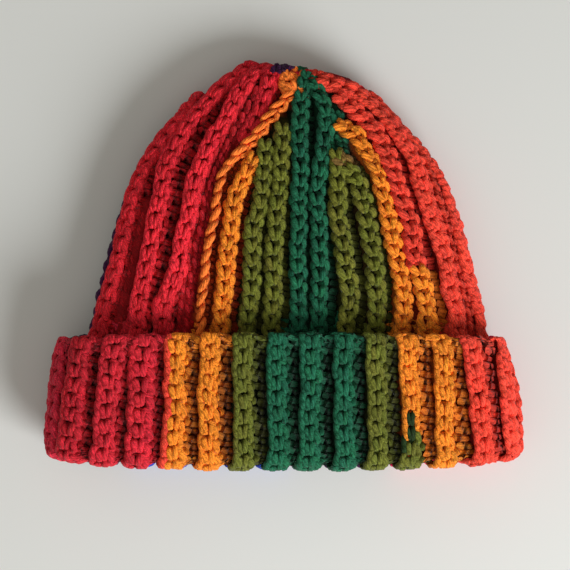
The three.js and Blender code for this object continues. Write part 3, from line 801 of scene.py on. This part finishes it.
def placeSideways(across, thick, gap, squeeze):
    core = reliefForm["core"]
    nearSide = core * squeeze
    farSide = np.maximum(gap - reliefForm["leftSide"] * squeeze, nearSide + reliefForm["leastGroove"])
    share = (np.abs(across) - core) / reliefForm["grooveSpan"]
    placed = np.where(share < 0, np.abs(across) * squeeze, nearSide + share * (farSide - nearSide))
    return np.sign(across) * placed + thick * np.clip(squeeze, *stitchLook["squeeze"])


def smoothStep(share):
    share = np.clip(share, 0, 1)
    return share * share * (3 - 2 * share)


def stitchRibs(name, skin, ribs, strands):
    starts, owner, pitches = spreadStitches(ribs)
    mesh = repeated(makeTemplate(name, strands), len(starts))
    middle = readLayer(mesh, "middle", np.float32, 3).astype(float)
    strand = readLayer(mesh, "strand", np.int32)
    places = np.zeros(middle.size, np.float32)
    mesh.vertices.foreach_get("co", places)
    stitch = np.arange(len(strand)) // (len(strand) // len(starts))
    offset = places.reshape(-1, 3).astype(float) - middle
    offset[:, 1] -= stitch * stitchLength
    nudge = rng.normal(0, stitchLook["loose"], (len(starts), len(strands), 3)) * (1, 1, stitchLook["looseUp"])
    swell = 1 + rng.normal(0, stitchLook["swell"], (len(starts), len(strands)))
    middle += nudge[stitch, strand]
    offset *= swell[stitch, strand][:, None]

    # one long line of stations holds all the ribs, each with its own stretch of it
    stretch = 1000.0
    line = np.concatenate([rib["along"] + stretch * number for number, rib in enumerate(ribs)])

    def station(key, at):
        return np.interp(at, line, np.concatenate([rib[key] for rib in ribs]))

    number = owner[stitch]
    length = np.array([rib["along"][-1] for rib in ribs])[number]
    down = starts[stitch] + middle[:, 1] * pitches[stitch] / stitchLength + offset[:, 1]
    inside = np.clip(down, 0, length)
    past = down - inside
    at = inside + stretch * number
    gap = np.where(middle[:, 0] > 0, station("gapRight", at), station("gapLeft", at))
    squeeze = station("squeeze", at)
    if "relief" in skin:
        spread = np.interp(station("v", at), skin["reliefV"], skin["spread"])
        squeeze = np.minimum(squeeze * spread, stitchLook["widest"])
    sideways = placeSideways(middle[:, 0], offset[:, 0], gap, squeeze)
    starting = np.array([rng.uniform(0, stitchLook["waveStart"], 2) for _ in ribs])[number]
    (reach, span), (smallReach, smallSpan) = stitchLook["waves"]
    sideways += (reach * np.sin(inside / span + starting[:, 0])
                 + smallReach * np.sin(inside / smallSpan + starting[:, 1]))
    valley = smoothStep((np.abs(sideways) / (0.5 * gap) - reliefForm["valleyFrom"])
                        / (1 - reliefForm["valleyFrom"]))
    deepFoot, deepTop = np.array([rib.get("depth", (0, 0)) for rib in ribs])[number].T
    shareDown = inside / length
    height = middle[:, 2] + offset[:, 2] - (deepFoot * shareDown + deepTop * (1 - shareDown))
    height -= reliefForm["valleyDepth"] * valley
    v = station("v", at) + station("acrossV", at) * sideways + station("downV", at) * past
    turn = station("turn", at) + station("acrossTurn", at) * sideways + station("downTurn", at) * past
    if "relief" in skin:
        height *= np.interp(v, skin["reliefV"], skin["relief"])
    points = pointOn(skin, v, turn) + slopesOn(skin, v, turn)[2] * height[:, None]
    if "relief" in skin:    # between the ribs the rolled edge dips, and the fold rises
        points[:, 1] += reliefForm["notch"] * valley * np.interp(v, skin["reliefV"], skin["notches"])
    points[:, 2] = np.maximum(points[:, 2], tableClearance)
    mesh.vertices.foreach_set("co", (points * mm).astype(np.float32).ravel())

    at = starts + stretch * owner
    stitchY = pointOn(skin, station("v", at), station("turn", at))[:, 1]
    paint = paintStrands(ribs, strands, owner, stitchY)[stitch, strand]
    return finishYarnMesh(mesh, name, paint, height - reliefForm["ownHeight"] * offset[:, 2])


def paintStrands(ribs, strands, owner, stitchY):    # a colour for each strand of each stitch
    base = np.array([[linear(yarns[rib.get("strandYarns", {}).get(key, rib["yarn"])]) for key in strands]
                     for rib in ribs])[owner]
    for number, rib in enumerate(ribs):
        for below, yarn, *some in rib.get("changes", ()):
            chosen = [not some or key in some[0] for key in strands]
            base[np.ix_((owner == number) & (stitchY < below), chosen)] = linear(yarns[yarn])
    shade, groove = (np.array([rib.get(key, 1.0) for rib in ribs])[owner][:, None, None]
                     for key in ("shade", "groove"))
    # painted shade: strands, ribs and grooves are dimmed or lightened by their shade and groove factors
    base *= np.array([strand["shade"] for strand in strands.values()])[None, :, None]
    base *= shade
    base[:, [key.startswith("groove") for key in strands]] *= groove
    stitchTone = rng.normal(0, stitchLook["stitchTone"], (len(owner), 1, 1))
    strandTone = rng.normal(0, stitchLook["strandTone"], (len(owner), len(strands), 3))
    return base * (1 + stitchTone + strandTone)


# painted shade: yarn that lies deep between the ribs is painted dimmer and purer in colour
def paintDeepShade(paint, height):    # light that has bounced between yarns is dimmer and purer in colour
    sunk = np.clip((reliefForm["shadeFrom"] - height) / reliefForm["shadeDepth"], 0, 1)[:, None]
    return np.clip(paint, 0.001, 1) ** (1 + reliefForm["purer"] * sunk) * (1 - reliefForm["dimmer"] * sunk)


def finishYarnMesh(mesh, name, paint, height):
    for layer in ("middle", "strand", "side", "down", "owner", "height"):
        if layer in mesh.attributes:
            mesh.attributes.remove(mesh.attributes[layer])
    colours = mesh.color_attributes.new("yarnColour", "FLOAT_COLOR", "POINT")
    rgba = np.ones((len(mesh.vertices), 4), np.float32)
    # the yarn's colour, with painted shade deep between the ribs
    rgba[:, :3] = np.clip(paintDeepShade(paint, height), 0, 1)
    colours.data.foreach_set("color", rgba.ravel())
    mesh.update()
    mesh.name = name
    piece = bpy.data.objects.new(name, mesh)
    bpy.context.collection.objects.link(piece)
    print(f"  {name}: {sum(len(p.vertices) - 2 for p in mesh.polygons)} triangles")
    return piece


print("stage: stitches")
kinds = {
    "ridge": ("crownRibs", ridgeStitch), "slim": ("crownSlimRibs", slimStitch),
    "chain": ("crownChain", chainStitch), "loops": ("crownLoops", loopStitch),
    "recess": ("crownRecess", recessStitch),
}
crownPieces = []
for kind, (name, strands) in kinds.items():
    for front in (True, False):
        ribs = [rib for rib in crownRibs if rib.get("kind", "ridge") == kind and rib["front"] == front]
        if ribs:
            crownPieces.append(stitchRibs(name + ("Front" if front else "Back"), crownSkin, ribs,
                                          strands if front else backStitch))
cuffPieces = [stitchRibs("cuffRibsFront", cuffSkin, [rib for rib in cuffRibs if rib["front"]], ridgeStitch),
              stitchRibs("cuffRibsBack", cuffSkin, [rib for rib in cuffRibs if not rib["front"]], backStitch),
              stitchRibs("cuffEdge", cuffSkin, edgeRibs, edgeStitch)]
insidePiece = stitchRibs("insideRibs", cuffSkin, insideRibs, insideStitch)


print("stage: walls behind the stitches")
wallForm = {
    # shade is painted shade, dimming the wall that shows between the ribs
    "columns": 200, "rows": 60, "shade": 0.5, "clearance": 0.6,
    "outside": (-4.4, -7.0), "inside": (-5.4, -7.6),    # under the crests, and between the ribs
    "valleyFrom": 2.5, "valleySpan": 4,
    "topGap": 0.6, "edgeGap": 1.5,    # from the drawn-in end, and from the cuff's rolled edge
}


def nearestRib(points, skin, ribs):
    nearest = np.full(len(points), 1e9)
    owner = np.zeros(len(points), int)
    for number, rib in enumerate(ribs):
        for point in pointOn(skin, rib["v"][::6], rib["turn"][::6]):
            distance = np.sum((points - point) ** 2, axis=1) * rib.get("thin", 1.0)
            closer = distance < nearest
            nearest[closer] = distance[closer]
            owner[closer] = number
    return np.sqrt(nearest), owner


def makeWall(name, skin, ribs, firstV, lastV):
    columns, rows = wallForm["columns"], wallForm["rows"]
    bm = bmesh.new()
    bmesh.ops.create_grid(bm, x_segments=columns, y_segments=2 * rows, size=1)
    index = np.arange(len(bm.verts))
    column = index % (columns + 1)
    row = index // (columns + 1) % (2 * rows)
    down = np.where(row < rows, row, 2 * rows - 1 - row)
    v = firstV + (lastV - firstV) * down / (rows - 1)
    turn = 2 * (column % columns) / columns
    crest = pointOn(skin, v, turn)
    distance, owner = nearestRib(crest, skin, ribs)
    valley = smoothStep((distance - wallForm["valleyFrom"]) / wallForm["valleySpan"])
    ends = [np.where(row < rows, out, back) for out, back in zip(wallForm["outside"], wallForm["inside"])]
    height = ends[0] * (1 - valley) + ends[1] * valley
    points = crest + slopesOn(skin, v, turn)[2] * height[:, None]
    points[:, 2] = np.maximum(points[:, 2], wallForm["clearance"])
    for vert, point in zip(bm.verts, points * mm):
        vert.co = point
    owners = bm.verts.layers.int.new("owner")
    heights = bm.verts.layers.float.new("height")
    for vert, number, deep in zip(bm.verts, owner, height):
        vert[owners], vert[heights] = int(number), deep
    bmesh.ops.remove_doubles(bm, verts=bm.verts, dist=1e-6)
    bmesh.ops.recalc_face_normals(bm, faces=bm.faces)
    for face in bm.faces:
        face.smooth = True
    mesh = bpy.data.meshes.new(name)
    bm.to_mesh(mesh)
    bm.free()
    return mesh


def addWall(name, skin, ribs, firstV, lastV):
    mesh = makeWall(name, skin, ribs, firstV, lastV)
    owner = readLayer(mesh, "owner", np.int32)
    height = readLayer(mesh, "height", np.float32)
    # painted shade: the wall takes its rib's yarn, dimmed by the wall's shade
    paint = np.array([linear(yarns[rib["yarn"]]) for rib in ribs])[owner] * wallForm["shade"]
    return finishYarnMesh(mesh, name, paint, height)


crownWall = addWall("crownWall", crownSkin, crownRibs, wallForm["topGap"], crownSkin["v"][-1])
cuffWallTop = cuffSkin["rowV"][edgeRows - 1] + wallForm["edgeGap"]
cuffWall = addWall("cuffWall", cuffSkin, cuffRibs + insideRibs, cuffWallTop, hollowV(hollowForm["wallTo"]))


print("stage: yarn material")
yarnLook = {
    "plies": 7.0, "plyLean": 0.36,    # round a strand, and how many turns they make in a millimetre along it
    "girth": 11.0,                    # millimetres round a strand
    "fibreTurn": (0.85, 0.5), "fibreAcross": 1.9, "fibreAlong": 0.55,    # lean and closeness of the fibres
    "drift": 130.0, "cloudScale": 150.0, "fuzzScale": 1900.0,
    "plyHeight": 0.7, "fibreHeight": 0.9, "fuzzHeight": 0.8, "bumpDistance": 0.0004,
    # ply, fibre and fuzz tones: painted shade in the bump's hollows and painted light and glints on its tops
    "plyPaintedShade": (0.8, 1.12), "fibrePaintedShade": (0.68, 1.32), "fuzzPaintedGlintAndShade": (0.56, 1.5), "cloudTones": (0.88, 1.12),
    "brightness": 1.14, "roughness": (0.92, 0.62),
    "sheen": 0.05, "sheenRoughness": 0.5, "specular": 0.16,
}


def addNode(tree, kind, place, **values):
    node = tree.nodes.new(kind)
    node.location = place
    for key, value in values.items():
        if key in node.inputs:
            node.inputs[key].default_value = value
        else:
            setattr(node, key, value)
    return node


def makeTwistGroup():
    # X of strandUV runs once round a strand, Y along it in millimetres
    group = bpy.data.node_groups.new("plyTwist", "ShaderNodeTree")
    for name, kind, value in (("Colour", "NodeSocketColor", (0.5, 0.5, 0.5, 1)),
                              ("Plies", "NodeSocketFloat", 1.0), ("Fibre Scale", "NodeSocketFloat", 1.0)):
        socket = group.interface.new_socket(name=name, in_out="INPUT", socket_type=kind)
        socket.default_value = value
    for name, kind in (("Colour", "NodeSocketColor"), ("Height", "NodeSocketFloat"),
                       ("Roughness", "NodeSocketFloat")):
        group.interface.new_socket(name=name, in_out="OUTPUT", socket_type=kind)
    source = addNode(group, "NodeGroupInput", (-1200, 0))
    result = addNode(group, "NodeGroupOutput", (1100, 0))
    link = group.links.new

    def calculate(operation, place, first, second=None, third=None):
        node = addNode(group, "ShaderNodeMath", place, operation=operation)
        for socket, value in zip(node.inputs, (first, second, third)):
            if isinstance(value, (int, float)):
                socket.default_value = value
            elif value is not None:
                link(value, socket)
        return node.outputs[0]

    def remap(place, value, low, high, toLow, toHigh):
        node = addNode(group, "ShaderNodeMapRange", place)
        for socket, number in zip(list(node.inputs)[1:5], (low, high, toLow, toHigh)):
            socket.default_value = number
        link(value, node.inputs["Value"])
        return node.outputs["Result"]

    uv = addNode(group, "ShaderNodeUVMap", (-1200, -300), uv_map="strandUV")
    parts = addNode(group, "ShaderNodeSeparateXYZ", (-1020, -300))
    link(uv.outputs["UV"], parts.inputs[0])
    around, along = parts.outputs["X"], parts.outputs["Y"]
    # the plies wind round the strand, leaning about a third of a right angle from its line
    plyTurn = calculate("MULTIPLY_ADD", (-820, -240), around, yarnLook["plies"],
                        calculate("MULTIPLY", (-1000, -460), along, yarnLook["plyLean"]))
    ply = calculate("SINE", (-460, -240), calculate("MULTIPLY", (-640, -240), plyTurn, 2 * math.pi))
    # single fibres: noise drawn out along the plies
    girthwise = calculate("MULTIPLY", (-820, 80), around, yarnLook["girth"])
    most, less = yarnLook["fibreTurn"]
    acrossFibre = calculate("ADD", (-460, 120), calculate("MULTIPLY", (-640, 160), girthwise, most),
                            calculate("MULTIPLY", (-640, 20), along, less))
    alongFibre = calculate("SUBTRACT", (-460, -40), calculate("MULTIPLY", (-640, -60), along, most),
                           calculate("MULTIPLY", (-640, -140), girthwise, less))
    coordinates = addNode(group, "ShaderNodeTexCoord", (-1200, 500))
    where = addNode(group, "ShaderNodeSeparateXYZ", (-1020, 400))
    link(coordinates.outputs["Object"], where.inputs[0])
    drift = calculate("MULTIPLY", (-640, 340), calculate("ADD", (-820, 340), where.outputs["X"],
                                                         where.outputs["Y"]), yarnLook["drift"])
    spot = addNode(group, "ShaderNodeCombineXYZ", (-260, 120))
    link(calculate("MULTIPLY", (-360, 260), acrossFibre, yarnLook["fibreAcross"]), spot.inputs[0])
    link(calculate("MULTIPLY", (-360, 0), alongFibre, yarnLook["fibreAlong"]), spot.inputs[1])
    link(drift, spot.inputs[2])
    fibre = addNode(group, "ShaderNodeTexNoise", (-80, 120), Detail=2.5, Roughness=0.6)
    link(spot.outputs[0], fibre.inputs["Vector"])
    link(source.outputs["Fibre Scale"], fibre.inputs["Scale"])
    cloud = addNode(group, "ShaderNodeTexNoise", (-640, 620), Detail=2.0, Scale=yarnLook["cloudScale"])
    link(coordinates.outputs["Object"], cloud.inputs["Vector"])
    fuzz = addNode(group, "ShaderNodeTexNoise", (-640, 840), Detail=2.0, Scale=yarnLook["fuzzScale"])
    link(coordinates.outputs["Object"], fuzz.inputs["Vector"])

    plyRise = remap((-60, -300), ply, -1, 1, 0, yarnLook["plyHeight"])
    height = calculate("MULTIPLY", (120, -300), plyRise, source.outputs["Plies"])
    height = calculate("MULTIPLY_ADD", (300, -200), fibre.outputs["Fac"], yarnLook["fibreHeight"], height)
    height = calculate("MULTIPLY_ADD", (480, -300), fuzz.outputs["Fac"], yarnLook["fuzzHeight"], height)
    link(height, result.inputs["Height"])
    # colour: painted shade between the plies and fibres and painted light and glints on their tops, where the
    # bump rises, and slowly lighter and darker along the yarn
    plyShade = remap((120, 300), ply, -1, 1, *yarnLook["plyPaintedShade"])
    fibreShade = remap((120, 120), fibre.outputs["Fac"], 0.3, 0.7, *yarnLook["fibrePaintedShade"])
    fuzzShade = remap((120, 840), fuzz.outputs["Fac"], 0.3, 0.7, *yarnLook["fuzzPaintedGlintAndShade"])
    cloudShade = remap((120, 620), cloud.outputs["Fac"], 0.3, 0.7, *yarnLook["cloudTones"])
    total = calculate("MULTIPLY", (480, 420), calculate("MULTIPLY", (300, 300), plyShade, fibreShade),
                      calculate("MULTIPLY", (300, 700), fuzzShade, cloudShade))
    tint = addNode(group, "ShaderNodeVectorMath", (700, 200), operation="SCALE")
    link(source.outputs["Colour"], tint.inputs[0])
    link(calculate("MULTIPLY", (600, 420), total, yarnLook["brightness"]), tint.inputs["Scale"])
    link(tint.outputs[0], result.inputs["Colour"])
    roughness = remap((700, -120), fibre.outputs["Fac"], 0.2, 0.8, *yarnLook["roughness"])
    link(roughness, result.inputs["Roughness"])
    return group


def makeYarnMaterial(name, plies, fibreScale, bumpStrength):
    material = bpy.data.materials.new(name)
    material.use_nodes = True
    tree = material.node_tree
    shader = tree.nodes["Principled BSDF"]
    link = tree.links.new
    paint = addNode(tree, "ShaderNodeAttribute", (-900, 100), attribute_name="yarnColour")
    twist = addNode(tree, "ShaderNodeGroup", (-600, 100))
    twist.node_tree = twistGroup
    twist.inputs["Plies"].default_value = plies
    twist.inputs["Fibre Scale"].default_value = fibreScale
    link(paint.outputs["Color"], twist.inputs["Colour"])
    bump = addNode(tree, "ShaderNodeBump", (-300, -200))
    bump.inputs["Strength"].default_value = bumpStrength
    bump.inputs["Distance"].default_value = yarnLook["bumpDistance"]
    link(twist.outputs["Height"], bump.inputs["Height"])
    link(twist.outputs["Colour"], shader.inputs["Base Color"])
    link(twist.outputs["Roughness"], shader.inputs["Roughness"])
    link(bump.outputs["Normal"], shader.inputs["Normal"])
    shader.inputs["Sheen Weight"].default_value = yarnLook["sheen"]
    shader.inputs["Sheen Roughness"].default_value = yarnLook["sheenRoughness"]
    shader.inputs["Specular IOR Level"].default_value = yarnLook["specular"]
    return material


twistGroup = makeTwistGroup()
yarnMaterial = makeYarnMaterial("pliedAcrylicYarn", plies=1.0, fibreScale=1.0, bumpStrength=0.55)
coreMaterial = makeYarnMaterial("yarnCore", plies=0.0, fibreScale=0.7, bumpStrength=0.8)
for piece in [*crownPieces, *cuffPieces, insidePiece]:
    piece.data.materials.append(yarnMaterial)
for piece in (crownWall, cuffWall):
    piece.data.materials.append(coreMaterial)


print("stage: pieces onto the frame")
for piece in [*crownPieces, crownWall]:
    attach(piece, "root")
    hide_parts("crown")
for piece in [*cuffPieces, cuffWall, insidePiece]:
    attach(piece, "root")
    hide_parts("cuff")
